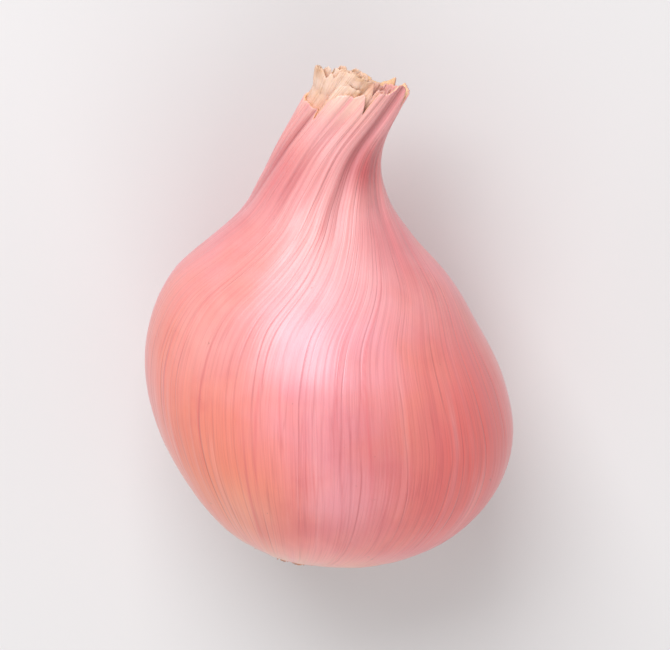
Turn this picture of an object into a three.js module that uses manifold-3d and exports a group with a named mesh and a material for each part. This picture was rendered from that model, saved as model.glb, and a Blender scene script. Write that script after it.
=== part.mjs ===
// A pink shallot: a teardrop bulb whose skin runs on into the pleated sheath of its dried neck,
// the cut dry leaf ends that stand in the sheath, and the root plate with its trimmed roots.
// It lies on its side, as a loose one does. Millimetres, +Z up, +Y from the roots to the neck.
import * as THREE from "three";
import { mergeVertices } from "three/addons/utils/BufferGeometryUtils.js";
import Module from "manifold-3d";

const wasm = await Module();
wasm.setup();

const TURN = 2 * Math.PI;
const DEGREE = Math.PI / 180;

// Outline of the bulb, looking down on it with the neck away: the distance from the root end
// along the axis, then how far the skin stands to the right, to the left, above and below.
// The last row lies past the torn rim, where only the leaf ends reach.
const OUTLINE = [
  [0.5, 5.9, 4.9, 5.3, 5.3], // rim of the dimple round the root plate
  [1.4, 9.2, 6.9, 8.2, 8.0],
  [3.2, 13.3, 9.7, 11.7, 11.5],
  [6.6, 17.4, 13.2, 15.2, 14.9],
  [11.5, 20.3, 16.8, 17.9, 17.4],
  [17.0, 20.9, 19.0, 19.0, 18.2], // belly
  [22.5, 18.9, 19.4, 18.4, 18.7],
  [28.0, 15.0, 17.9, 15.7, 16.5],
  [32.5, 11.4, 14.6, 12.2, 12.6], // shoulder
  [36.5, 7.0, 12.0, 9.3, 8.6],
  [40.5, 3.6, 10.6, 7.2, 5.2], // neck
  [45.0, 2.1, 9.2, 6.2, 3.1],
  [50.0, 3.3, 7.5, 5.9, 2.0],
  [56.0, 5.2, 5.6, 6.0, 1.5],
];
const NECK_START = 36.5;

// How it lies: the neck is raised, and the belly is pressed flat where it touches the surface.
const NECK_RAISED = 4 * DEGREE;
const REST_ALONG = 20.0; // the section above the flat spot
const REST_HEIGHT = 17.9; // the axis above the surface at that section

const GAP = 0.3; // between neighbouring pieces

// Broad swellings of the belly: how many round the bulb, their height and direction.
const SWELLINGS = [
  { lobes: 2, height: 0.25, at: 35 * DEGREE },
  { lobes: 3, height: 0.25, at: 80 * DEGREE },
];
const SWELLINGS_END = 45; // they fade out towards the roots and towards this distance

// Folds of the dried sheath: the direction of each at FOLDS_MIDDLE, and its depth. Each falls
// steeply on one side and rises gently on the other, as a lapped edge does.
const FOLDS = [
  { at: 12 * DEGREE, depth: 0.4 },
  { at: 56 * DEGREE, depth: 0.7 },
  { at: 108 * DEGREE, depth: 0.45 },
  { at: 150 * DEGREE, depth: 0.55 },
  { at: 205 * DEGREE, depth: 0.5 },
  { at: 250 * DEGREE, depth: 0.6 },
  { at: 300 * DEGREE, depth: 0.5 },
];
const FOLDS_BEGIN = 30;
const FOLDS_FULL = 40;
const FOLDS_MIDDLE = 45;
const FOLDS_TWIST = -3.4 * DEGREE; // per millimetre along the neck
const FOLD_STEEP = 6 * DEGREE;
const FOLD_GENTLE = 20 * DEGREE;

// The open end of the sheath: its wall, the floor of the hollow, and the torn rim, which is
// lowest on the upper left and ragged all round.
const SHEATH_WALL = 1.35;
const HOLLOW_FLOOR = 47.5;
const RIM = 53.0;
const TEAR = { depth: 3.0, at: 155 * DEGREE, half: 100 * DEGREE };
const RAGS = [
  { teeth: 5, height: 0.35 },
  { teeth: 9, height: 0.25 },
];

// Dry leaf ends, from the outermost in: the directions that each spans, its share of the
// hollow's width, how far it reaches, and how far its corners fall short of that.
const LEAF_INSET = SHEATH_WALL + GAP;
const LEAF_THICKNESS = 0.65;
const LEAF_CORE_TOP = 50.0;
const LEAF_SUNK = 1.2;
const LEAF_FLARE = 0.4; // outwards for each millimetre past the torn rim
const LEAVES = [
  { from: 62 * DEGREE, to: 228 * DEGREE, share: 1.0, reach: 54.6, short: 1.5 },
  { from: 250 * DEGREE, to: 405 * DEGREE, share: 1.0, reach: 53.4, short: 1.3 },
  { from: 150 * DEGREE, to: 300 * DEGREE, share: 0.66, reach: 53.8, short: 1.6 },
  { from: -10 * DEGREE, to: 120 * DEGREE, share: 0.66, reach: 54.2, short: 1.4 },
];
const LEAF_TEETH = 0.45;
const LEAF_STEPS = { across: 10, along: 5 };

// Dimple at the root end: share of the rim's outline and depth below the rim, from the middle out.
const DIMPLE_FLOOR = 2.5;
const DIMPLE = [
  [0.45, DIMPLE_FLOOR],
  [0.88, DIMPLE_FLOOR],
  [0.93, 1.3],
  [0.97, 0.4],
];

// Root plate: how far it is drawn in from the rim, then the share of its outline and the height
// above its back, from its middle out.
const PLATE_INSET = 0.95;
const PLATE_HEIGHT = 1.2;
const PLATE_DOME = [
  [0.4, 1.12],
  [0.75, 0.95],
  [0.95, 0.6],
  [1.0, 0],
];

// Trimmed roots, spread over the plate and leaning outwards.
const ROOT_COUNT = 46;
const ROOT_SIDES = 5;
const ROOT_RADIUS = { base: 0.5, end: 0.3 };
const ROOT_LENGTH = { least: 1.1, most: 2.3 };
const ROOT_LEAN = 0.55;
const ROOT_STRAY = 0.35;
const ROOT_SUNK = 0.7;
const ROOT_SPREAD = 0.86; // share of the plate's outline that the roots fill
const GOLDEN_ANGLE = Math.PI * (3 - Math.sqrt(5));

// Mesh steps.
const AROUND = 64;
const AROUND_SMALL = 28;
const BODY_STEPS = 3; // for each span of the outline
const NECK_STEPS = 14;
const HOLLOW_STEPS = 3;

const mix = THREE.MathUtils.lerp;
const rise = (from, to, x) => THREE.MathUtils.smoothstep(x, from, to);
const steps = (count) => Array.from({ length: count }, (_, i) => i);

// Repeatable random numbers from 0 to 1.
function draws(seed) {
  let state = seed;
  return () => {
    state = (Math.imul(state, 1664525) + 1013904223) >>> 0;
    return state / 2 ** 32;
  };
}

// The slope of one column of the outline at a row.
function slope(row, column) {
  const before = OUTLINE[Math.max(0, row - 1)];
  const after = OUTLINE[Math.min(OUTLINE.length - 1, row + 1)];
  return (after[column] - before[column]) / (after[0] - before[0]);
}

// The outline's columns at a distance along the axis, on smooth curves through its rows.
function outlineAt(along) {
  const row = Math.max(0, OUTLINE.findLastIndex(([at], i) => at <= along && i < OUTLINE.length - 1));
  const [start, end] = [OUTLINE[row], OUTLINE[row + 1]];
  const span = end[0] - start[0];
  const t = (along - start[0]) / span;
  return [1, 2, 3, 4].map((column) => {
    const rest = (1 - t) ** 2;
    const fromStart = rest * (1 + 2 * t) * start[column] + rest * t * span * slope(row, column);
    const fromEnd = t * t * (3 - 2 * t) * end[column] + t * t * (t - 1) * span * slope(row + 1, column);
    return fromStart + fromEnd;
  });
}

// The plain section there: an ellipse with its centre beside the axis.
function section(along) {
  const [right, left, above, below] = outlineAt(along);
  return {
    x: (right - left) / 2,
    z: (above - below) / 2,
    wide: (right + left) / 2,
    deep: (above + below) / 2,
  };
}

// From the shallot's own axes, right, along and above, to how it lies.
function place(x, along, z) {
  const past = along - REST_ALONG;
  const y = past * Math.cos(NECK_RAISED) - z * Math.sin(NECK_RAISED);
  const height = REST_HEIGHT + past * Math.sin(NECK_RAISED) + z * Math.cos(NECK_RAISED);
  return new THREE.Vector3(x, y, Math.max(0, height));
}

// The signed angle from one direction to another, within half a turn.
function turnBetween(from, to) {
  return THREE.MathUtils.euclideanModulo(to - from + Math.PI, TURN) - Math.PI;
}

// How far the skin stands proud of the plain section.
function relief(along, angle) {
  const belly = Math.sin(Math.PI * THREE.MathUtils.clamp(along / SWELLINGS_END, 0, 1));
  let height = 0;
  for (const swelling of SWELLINGS) {
    height += swelling.height * belly * Math.cos(swelling.lobes * (angle - swelling.at));
  }
  const dried = rise(FOLDS_BEGIN, FOLDS_FULL, along);
  for (const fold of FOLDS) {
    const past = turnBetween(fold.at + FOLDS_TWIST * (along - FOLDS_MIDDLE), angle);
    const width = past < 0 ? FOLD_STEEP : FOLD_GENTLE;
    height -= fold.depth * dried * Math.exp(-Math.abs(past) / width);
  }
  return height;
}

function skinPoint(along, angle) {
  const { x, z, wide, deep } = section(along);
  const proud = relief(along, angle);
  return place(x + (wide + proud) * Math.cos(angle), along, z + (deep + proud) * Math.sin(angle));
}

// A point of the plain section, drawn in from it by a distance and then to a share of its size.
function innerPoint(along, angle, { inset = 0, share = 1, sunk = 0, outline = section(along) }) {
  const { x, z, wide, deep } = outline;
  const reach = (half) => (half - inset) * share - sunk;
  return place(x + reach(wide) * Math.cos(angle), along, z + reach(deep) * Math.sin(angle));
}

// The middle of the section there, or of another outline.
function middlePoint(along, outline = section(along)) {
  return place(outline.x, along, outline.z);
}

const ROOT_END = OUTLINE[0][0];
const ROOT_RIM = section(ROOT_END);

// Where the sheath's torn rim is, in each direction.
function rimAt(angle) {
  const off = Math.abs(turnBetween(TEAR.at, angle));
  let rim = RIM - TEAR.depth * (1 - rise(0, TEAR.half, off));
  for (const { teeth, height } of RAGS) {
    rim += height * Math.sin(teeth * angle + teeth);
  }
  return rim;
}

const ring = (count, point) => steps(count).map((i) => point((i / count) * TURN));

function surface(points, index) {
  const geometry = new THREE.BufferGeometry().setFromPoints(points);
  geometry.setIndex(index);
  geometry.computeVertexNormals();
  return geometry;
}

// A closed surface through rings of points, with a fan to a point at each end.
function loft(first, rings, last) {
  const count = rings[0].length;
  const points = [first, ...rings.flat(), last];
  const at = (r, i) => 1 + r * count + (i % count);
  const index = [];
  for (const i of steps(count)) {
    index.push(0, at(0, i), at(0, i + 1));
    index.push(points.length - 1, at(rings.length - 1, i + 1), at(rings.length - 1, i));
    for (const r of steps(rings.length - 1)) {
      index.push(at(r, i), at(r + 1, i), at(r, i + 1));
      index.push(at(r, i + 1), at(r + 1, i), at(r + 1, i + 1));
    }
  }
  return surface(points, index);
}

// A closed strip with two faces over one grid, split into triangles alike.
function strip({ across, along }, outer, inner) {
  const row = across + 1;
  const behind = row * (along + 1);
  const at = (i, j) => j * row + i;
  const points = [];
  for (const face of [outer, inner]) {
    for (const j of steps(along + 1)) {
      points.push(...steps(row).map((i) => face(i, j)));
    }
  }
  const index = [];
  for (const j of steps(along)) {
    for (const i of steps(across)) {
      const [a, b, c, d] = [at(i, j), at(i, j + 1), at(i + 1, j), at(i + 1, j + 1)];
      index.push(a, b, c, c, b, d);
      index.push(a + behind, c + behind, b + behind, c + behind, d + behind, b + behind);
    }
  }
  const edge = [
    ...steps(along).map((j) => at(0, j)),
    ...steps(across).map((i) => at(i, along)),
    ...steps(along).map((j) => at(across, along - j)),
    ...steps(across).map((i) => at(across - i, 0)),
  ];
  edge.forEach((a, n) => {
    const b = edge[(n + 1) % edge.length];
    index.push(b, a, a + behind, b, a + behind, b + behind);
  });
  return surface(points, index);
}

// Closed surfaces joined into one body.
function joined(geometries) {
  const solids = geometries.map((geometry) => {
    const bare = geometry.clone();
    bare.deleteAttribute("normal");
    const merged = mergeVertices(bare);
    const vertProperties = merged.attributes.position.array;
    const triVerts = new Uint32Array(merged.index.array);
    return new wasm.Manifold(new wasm.Mesh({ numProp: 3, vertProperties, triVerts }));
  });
  const mesh = solids.reduce((whole, piece) => whole.add(piece)).getMesh();
  const geometry = new THREE.BufferGeometry();
  geometry.setAttribute("position", new THREE.BufferAttribute(mesh.vertProperties, 3));
  geometry.setIndex(new THREE.BufferAttribute(mesh.triVerts, 1));
  geometry.computeVertexNormals();
  return geometry;
}

// The bulb: in from the dimple, over the body, up the sheath to its torn rim and into the hollow.
function bulbGeometry() {
  const rings = DIMPLE.map(([share, depth]) =>
    ring(AROUND, (angle) => innerPoint(ROOT_END + depth, angle, { share, outline: ROOT_RIM })),
  );
  for (const [row, [start]] of OUTLINE.entries()) {
    if (start >= NECK_START) break;
    const end = OUTLINE[row + 1][0];
    for (const step of steps(BODY_STEPS)) {
      rings.push(ring(AROUND, (angle) => skinPoint(mix(start, end, step / BODY_STEPS), angle)));
    }
  }
  for (const step of steps(NECK_STEPS + 1)) {
    const alongAt = (angle) => mix(NECK_START, rimAt(angle), step / NECK_STEPS);
    rings.push(ring(AROUND, (angle) => skinPoint(alongAt(angle), angle)));
  }
  for (const step of steps(HOLLOW_STEPS + 1)) {
    const alongAt = (angle) => mix(rimAt(angle), HOLLOW_FLOOR, step / HOLLOW_STEPS);
    rings.push(ring(AROUND, (angle) => innerPoint(alongAt(angle), angle, { inset: SHEATH_WALL })));
  }
  return loft(middlePoint(ROOT_END + DIMPLE_FLOOR, ROOT_RIM), rings, middlePoint(HOLLOW_FLOOR));
}

// One dry leaf end: a curved strip that follows the hollow and ends in a ragged, sloping tear.
function leafGeometry({ from, to, share, reach, short }, draw) {
  const { across, along } = LEAF_STEPS;
  const foot = LEAF_CORE_TOP - LEAF_SUNK;
  const ends = steps(across + 1).map((i) => {
    const aside = Math.abs((2 * i) / across - 1);
    return reach - short * aside ** 2 - LEAF_TEETH * draw();
  });
  const face = (sunk) => (i, j) => {
    const angle = mix(from, to, i / across);
    const up = mix(foot, ends[i], j / along);
    const inset = LEAF_INSET - LEAF_FLARE * Math.max(0, up - rimAt(angle) - GAP);
    return innerPoint(up, angle, { inset, share, sunk });
  };
  return strip(LEAF_STEPS, face(0), face(LEAF_THICKNESS));
}

// The bunch of leaf ends, which grow from one core at the bottom of the hollow.
function leavesGeometry() {
  const draw = draws(7);
  const bottom = HOLLOW_FLOOR + GAP;
  const core = loft(
    middlePoint(bottom),
    [bottom, LEAF_CORE_TOP].map((along) =>
      ring(AROUND_SMALL, (angle) => innerPoint(along, angle, { inset: LEAF_INSET })),
    ),
    middlePoint(LEAF_CORE_TOP),
  );
  return joined([core, ...LEAVES.map((leaf) => leafGeometry(leaf, draw))]);
}

// A point of the root plate, at a share of its size.
function platePoint(along, angle, share) {
  return innerPoint(along, angle, { inset: PLATE_INSET, share, outline: ROOT_RIM });
}

// One trimmed root: a slim cone from inside the plate, bent outwards to its cut end.
function rootGeometry(back, angle, out, draw) {
  const foot = platePoint(back - ROOT_SUNK, angle, out);
  const length = mix(ROOT_LENGTH.least, ROOT_LENGTH.most, draw());
  const lean = out * ROOT_LEAN + ROOT_STRAY * (draw() - 0.5);
  const turned = angle + ROOT_STRAY * (draw() - 0.5);
  const point = (t, side) => {
    const bent = length * lean * t * t;
    const radius = mix(ROOT_RADIUS.base, ROOT_RADIUS.end, t);
    return new THREE.Vector3(
      foot.x + bent * Math.cos(turned) + radius * Math.cos(side),
      foot.y - length * t,
      foot.z + bent * Math.sin(turned) + radius * Math.sin(side),
    );
  };
  const centre = (t) => point(t, 0).add(point(t, Math.PI)).multiplyScalar(0.5);
  const rings = [1, 0.5, 0].map((t) => ring(ROOT_SIDES, (side) => point(t, side)));
  return loft(centre(1), rings, centre(0));
}

// The root plate, domed in its dimple, with its roots.
function rootsGeometry() {
  const draw = draws(19);
  const back = ROOT_END + DIMPLE_FLOOR - GAP;
  const rings = PLATE_DOME.map(([share, height]) =>
    ring(AROUND_SMALL, (angle) => platePoint(back - height, angle, share)),
  );
  const plate = loft(platePoint(back - PLATE_HEIGHT, 0, 0), rings, platePoint(back, 0, 0));
  const roots = steps(ROOT_COUNT).map((i) => {
    const out = ROOT_SPREAD * Math.sqrt((i + 0.5) / ROOT_COUNT);
    return rootGeometry(back, i * GOLDEN_ANGLE, out, draw);
  });
  return joined([plate, ...roots]);
}

function piece(name, geometry, color, roughness) {
  const material = new THREE.MeshStandardMaterial({ color, roughness, metalness: 0 });
  const mesh = new THREE.Mesh(geometry, material);
  mesh.name = name;
  return mesh;
}

const shallot = new THREE.Group();
shallot.add(
  piece("bulb", bulbGeometry(), 0xe39a93, 0.42),
  piece("neck_leaves", leavesGeometry(), 0xe8cfa6, 0.8),
  piece("root_tuft", rootsGeometry(), 0x8c715c, 0.9),
);

// The origin is below the middle of the whole shallot.
const middle = new THREE.Box3().setFromObject(shallot).getCenter(new THREE.Vector3());
shallot.position.set(-middle.x, -middle.y, 0);

export default shallot;
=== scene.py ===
"""One pink shallot lying on its side, seen from above: fine papery skin with its veins, the
wrinkled neck with its dry leaf ends, and the corky root plate with its trimmed roots."""

import math
import random

import bpy
import numpy as np
from mathutils import Matrix, Vector, noise


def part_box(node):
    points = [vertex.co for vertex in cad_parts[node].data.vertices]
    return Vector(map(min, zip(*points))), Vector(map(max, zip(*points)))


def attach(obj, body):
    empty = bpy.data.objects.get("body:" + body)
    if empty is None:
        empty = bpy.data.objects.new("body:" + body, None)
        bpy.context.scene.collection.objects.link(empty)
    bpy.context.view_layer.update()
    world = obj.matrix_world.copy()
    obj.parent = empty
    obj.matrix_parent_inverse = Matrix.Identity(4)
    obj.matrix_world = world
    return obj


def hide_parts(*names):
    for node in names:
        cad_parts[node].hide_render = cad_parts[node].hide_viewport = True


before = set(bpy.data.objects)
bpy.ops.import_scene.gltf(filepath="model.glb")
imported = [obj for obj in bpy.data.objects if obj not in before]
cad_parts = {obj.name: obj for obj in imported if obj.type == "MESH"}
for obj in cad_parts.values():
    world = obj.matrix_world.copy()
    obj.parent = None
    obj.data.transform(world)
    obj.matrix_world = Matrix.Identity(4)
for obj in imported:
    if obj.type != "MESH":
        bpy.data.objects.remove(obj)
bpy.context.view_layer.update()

TURN = 2 * math.pi
MM = 0.001

# The bulb's outline in mm: distance from the root end, then right, left, above and below.
OUTLINE = np.array([
    [0.5, 5.9, 4.9, 5.3, 5.3],
    [1.4, 9.2, 6.9, 8.2, 8.0],
    [3.2, 13.3, 9.7, 11.7, 11.5],
    [6.6, 17.4, 13.2, 15.2, 14.9],
    [11.5, 20.3, 16.8, 17.9, 17.4],
    [17.0, 20.9, 19.0, 19.0, 18.2],
    [22.5, 18.9, 19.4, 18.4, 18.7],
    [28.0, 15.0, 17.9, 15.7, 16.5],
    [32.5, 11.4, 14.6, 12.2, 12.6],
    [36.5, 7.0, 12.0, 9.3, 8.6],
    [40.5, 3.6, 10.6, 7.2, 5.2],
    [45.0, 2.1, 9.2, 6.2, 3.1],
    [50.0, 3.3, 7.5, 5.9, 2.0],
    [56.0, 5.2, 5.6, 6.0, 1.5],
])
ROOT_END = 0.5
NECK_START = 36.5

# How it lies: the neck's angle to the floor, and a point along it in mm and its height.
NECK_RAISED = math.radians(4)
REST_ALONG = 20.0
REST_HEIGHT = 17.9

# Broad swellings: how many round the bulb, height and direction.
SWELLINGS = [(2, 0.25, 35), (3, 0.25, 80)]
SWELLINGS_END = 45

# Folds of the dried sheath: direction in degrees at FOLDS_MIDDLE, and depth.
FOLDS = [(12, 0.4), (56, 0.7), (108, 0.45), (150, 0.55), (205, 0.5), (250, 0.6), (300, 0.5)]
FOLDS_BEGIN, FOLDS_FULL, FOLDS_MIDDLE = 30, 40, 45
FOLDS_TWIST = math.radians(-3.4)
FOLD_STEEP, FOLD_GENTLE = math.radians(6), math.radians(20)

# Torn rim of the sheath.
RIM = 53.0
TEAR_DEPTH, TEAR_AT, TEAR_HALF = 3.0, math.radians(155), math.radians(100)
RAGS = [(5, 0.35), (9, 0.25)]

# Fine relief of the skin, in mm.
VEINS = 84
VEIN_HEIGHT = 0.035
VEIN_WIDTH = 0.2
VEIN_SWAY = 0.035
WRINKLES = 30
WRINKLE_DEPTH = 0.17
WAVE_DEPTH = 0.15
DENT_DEPTH = 0.12
SUNK = 0.16

# Puckers of the skin round the root end.
PUCKER_DEPTH = 0.22
PUCKERS_END = 6.0
UNEVEN_RIM = 0.7
UNEVEN_END = 3.5

# Torn edge of the outermost skin round the root end.
BARE_EDGE, BARE_WANDER, BARE_STEP = 1.25, 0.9, 0.1
BARE_FRAY, BARE_BLUR = 0.5, 0.12

# Steps of the skin's mesh.
AROUND = 400
BODY_ROWS, NECK_ROWS = 138, 66

# Inner wall of the sheath: share of the way from the rim to the hollow's floor, and thickness.
SHEATH_WALL = np.array([[0.0, 0.2], [0.04, 0.3], [0.15, 0.36], [0.4, 0.42], [0.7, 0.5], [1, 0.6]])
HOLLOW_FLOOR = 47.6
HOLLOW_FLOOR_INSET = 0.9
HOLLOW_FLOOR_SHARES = np.array([[0.9], [0.5], [0.02]])

# Dimple for the root plate, from its middle out: share of the root end's size, and depth.
DIMPLE_FLOOR = 2.5
DIMPLE = np.array([
    [0.02, DIMPLE_FLOOR], [0.5, DIMPLE_FLOOR], [0.8, DIMPLE_FLOOR], [0.88, 2.35], [0.91, 1.9],
    [0.93, 1.4], [0.95, 0.95], [0.965, 0.6], [0.98, 0.32], [0.99, 0.12],
])

# Root plate: inset from the dimple's wall, rise, and how far its back is sunk in the dimple.
PLATE_INSET = 0.7
PLATE_RISE = 1.35
PLATE_SUNK = 0.25
PLATE_COLUMNS = 120


def smooth(low, high, x):
    """0 below low, 1 above high, and a soft curve between."""
    t = np.clip((x - low) / (high - low), 0, 1)
    return t * t * (3 - 2 * t)


def turn_between(start, end):
    """The signed angle from one direction to another, within half a turn."""
    return (end - start + math.pi) % TURN - math.pi


def outline_slopes():
    """Slope of each column of the outline at each of its rows."""
    rows = np.arange(len(OUTLINE))
    before = OUTLINE[np.maximum(rows - 1, 0)]
    after = OUTLINE[np.minimum(rows + 1, len(OUTLINE) - 1)]
    return (after - before)[:, 1:] / (after - before)[:, :1]


SLOPES = outline_slopes()


def section(along):
    """Centre x and z, and half width and depth, of the plain ellipse at each distance along."""
    along = np.asarray(along, float)
    row = np.clip(np.searchsorted(OUTLINE[:, 0], along, side="right") - 1, 0, len(OUTLINE) - 2)
    span = (OUTLINE[row + 1, 0] - OUTLINE[row, 0])[..., None]
    t = (along - OUTLINE[row, 0])[..., None] / span
    start = (1 - t) ** 2 * ((1 + 2 * t) * OUTLINE[row, 1:] + t * span * SLOPES[row])
    end = t**2 * ((3 - 2 * t) * OUTLINE[row + 1, 1:] + (t - 1) * span * SLOPES[row + 1])
    right, left, above, below = np.moveaxis(start + end, -1, 0)
    return (right - left) / 2, (above - below) / 2, (right + left) / 2, (above + below) / 2


def place(x, along, z):
    """From the shallot's own axes, right, along and above, to how it lies, in mm."""
    past = along - REST_ALONG
    y = past * math.cos(NECK_RAISED) - z * math.sin(NECK_RAISED)
    height = REST_HEIGHT + past * math.sin(NECK_RAISED) + z * math.cos(NECK_RAISED)
    return np.stack(np.broadcast_arrays(x, y, np.maximum(height, 0)), -1)


def folds(along, angle):
    """How far the folds of the sheath sink the skin."""
    dried = smooth(FOLDS_BEGIN, FOLDS_FULL, along)
    depth = np.zeros(np.broadcast(along, angle).shape)
    for at, full in FOLDS:
        past = turn_between(math.radians(at) + FOLDS_TWIST * (along - FOLDS_MIDDLE), angle)
        width = np.where(past < 0, FOLD_STEEP, FOLD_GENTLE)
        depth += full * dried * np.exp(-np.abs(past) / width)
    return depth


def relief(along, angle):
    """How far the skin stands proud of the plain section, as in the solid."""
    belly = np.sin(math.pi * np.clip(along / SWELLINGS_END, 0, 1))
    height = -folds(along, angle)
    for lobes, swell, at in SWELLINGS:
        height = height + swell * belly * np.cos(lobes * (angle - math.radians(at)))
    return height


def skin_point(along, angle, proud=0.0):
    x, z, wide, deep = section(along)
    height = relief(along, angle) + proud
    return place(x + (wide + height) * np.cos(angle), along, z + (deep + height) * np.sin(angle))


def inner_point(along, angle, inset=0.0, share=1.0, outline_along=None):
    """A point of the plain section, drawn in by a distance and then to a share of its size."""
    x, z, wide, deep = section(along if outline_along is None else outline_along)
    across = x + (wide - inset) * share * np.cos(angle)
    return place(across, along, z + (deep - inset) * share * np.sin(angle))


def around(angle, size=1.0, lengthwise=0.0):
    """Points round a circle, moved off it lengthwise, for noise that closes without a seam."""
    return np.stack(np.broadcast_arrays(np.cos(angle) * size, np.sin(angle) * size, lengthwise), -1)


def noise_field(points, size, seed):
    """Smooth noise from -1 to 1 over points in mm, with features of about that size."""
    shift = Vector((seed * 17.3, seed * 7.1, seed * 3.7))
    flat = (points / size).reshape(-1, 3)
    return np.array([noise.noise(Vector(p) + shift) for p in flat]).reshape(points.shape[:-1])


def sheath_twist(along):
    """How far the neck's twist has turned what runs along the skin."""
    return FOLDS_TWIST * np.logaddexp(0, (along - FOLDS_BEGIN) / 3) * 3


def grain(along, angle):
    """Coordinates in which whatever is drawn out lengthwise runs from the roots to the neck."""
    turned = angle - sheath_twist(along)
    return np.stack(np.broadcast_arrays(np.cos(turned), np.sin(turned), along / 40), -1)


def vein_field(along, angle):
    """0 to 1, high on the veins that run from the roots to the neck."""
    draw = random.Random(3)
    spacing = TURN / VEINS
    field = np.zeros(np.broadcast(along, angle).shape)
    for k in range(VEINS):
        start = spacing * (k + draw.uniform(-0.35, 0.35))
        phase = draw.uniform(0, TURN)
        strength = draw.uniform(0.25, 1)
        course = start + sheath_twist(along) + VEIN_SWAY * np.sin(along / 11 + phase)
        off = turn_between(course, angle) / (VEIN_WIDTH * spacing)
        waning = 0.75 + 0.25 * np.sin(along / 5 + 2 * phase)
        field = np.maximum(field, strength * waning * np.exp(-off * off))
    return field


def wrinkle_field(along, angle):
    """0 to 1, high in the fine wrinkles that gather towards the neck."""
    draw = random.Random(11)
    field = np.zeros(np.broadcast(along, angle).shape)
    for k in range(WRINKLES):
        start = TURN * (k + draw.uniform(-0.4, 0.4)) / WRINKLES
        begin = draw.uniform(31, 43)
        width = math.radians(draw.uniform(1.6, 3.4))
        strength = draw.uniform(0.4, 1)
        phase = draw.uniform(0, TURN)
        sway = 0.05 * np.sin(along / 4 + phase)
        off = turn_between(start + sheath_twist(along) + sway, angle) / width
        grown = strength * smooth(begin, begin + 5, along)
        field = np.maximum(field, grown * np.exp(-off * off))
    return field


def bare_field(along, angle):
    """1 where the outermost skin is torn away round the root end, and 0 where it is whole."""
    ring = around(angle)
    edge = BARE_EDGE + BARE_WANDER * noise_field(ring, 0.55, 4)
    edge = edge + BARE_FRAY * noise_field(ring, 0.12, 5)
    return 1 - smooth(-BARE_BLUR, BARE_BLUR, along - edge)


def rim_at(angle):
    """Where the sheath's torn rim is, in each direction."""
    rim = RIM - TEAR_DEPTH * (1 - smooth(0, TEAR_HALF, np.abs(turn_between(TEAR_AT, angle))))
    for teeth, height in RAGS:
        rim = rim + height * np.sin(teeth * angle + teeth)
    return rim


# Splits of the rim: direction in degrees, depth in mm and half width in degrees.
SPLITS = [(18, 1.9, 7), (74, 2.6, 9), (128, 1.6, 8), (196, 2.4, 10), (247, 2.0, 8), (318, 2.6, 9)]
# Finest rags of the rim: height in mm, and size and seed of their noise.
FINE_RAGS = [(0.22, 0.05, 8), (0.16, 0.018, 9)]
RIM_SHORT = 0.15


def torn_rim(angle):
    """The rim with its splits and its finest rags, no further out than the solid's."""
    rim = rim_at(angle) - RIM_SHORT
    for at, depth, half in SPLITS:
        off = np.abs(turn_between(math.radians(at), angle)) / math.radians(half)
        rim = rim - depth * np.clip(1 - off, 0, 1) ** 1.4
    for height, size, seed in FINE_RAGS:
        rim = rim - height * np.abs(noise_field(around(angle), size, seed))
    return rim


def grid_faces(rows, columns, closed):
    """Quads over a grid of points, closed round its columns or not."""
    across = columns if closed else columns - 1
    j, i = np.meshgrid(np.arange(rows - 1), np.arange(across), indexing="ij")
    k = (i + 1) % columns
    quads = np.stack([j * columns + i, (j + 1) * columns + i, (j + 1) * columns + k, j * columns + k], -1)
    return [tuple(map(int, quad)) for quad in quads.reshape(-1, 4)]


class Body:
    """Points and faces gathered for one piece, with a value of each attribute for each point."""

    def __init__(self, *attributes):
        self.points, self.faces, self.count = [], [], 0
        self.values = {name: [] for name in attributes}

    def add(self, points, faces, **values):
        points = np.asarray(points).reshape(-1, 3)
        self.points.append(points)
        self.faces += [tuple(v + self.count for v in face) for face in faces]
        self.count += len(points)
        for name, store in self.values.items():
            value = np.asarray(values[name], float)
            width = value.shape[-1] if name == "grain" else None
            shape = (len(points), 3) if width else (len(points),)
            store.append(value.reshape(shape) if value.size > 1 else np.full(shape, float(value)))

    def build(self, name, material, shift):
        mesh = bpy.data.meshes.new(name)
        points = (np.concatenate(self.points) + shift) * MM
        mesh.from_pydata(points.tolist(), [], self.faces)
        for attribute, store in self.values.items():
            value = np.concatenate(store)
            vector = value.ndim == 2
            layer = mesh.attributes.new(attribute, "FLOAT_VECTOR" if vector else "FLOAT", "POINT")
            layer.data.foreach_set("vector" if vector else "value", value.astype(np.float32).ravel())
        mesh.shade_smooth()
        mesh.materials.append(material)
        piece = bpy.data.objects.new(name, mesh)
        bpy.context.collection.objects.link(piece)
        return piece


def body_rows():
    """Distances along the body that split its profile into equal lengths."""
    fine = np.linspace(ROOT_END, NECK_START, 2000)
    _, _, wide, deep = section(fine)
    steps = np.hypot(np.diff(fine), np.diff((wide + deep) / 2))
    length = np.concatenate([[0], np.cumsum(steps)])
    return np.interp(np.linspace(0, length[-1], BODY_ROWS), length, fine)


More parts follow.
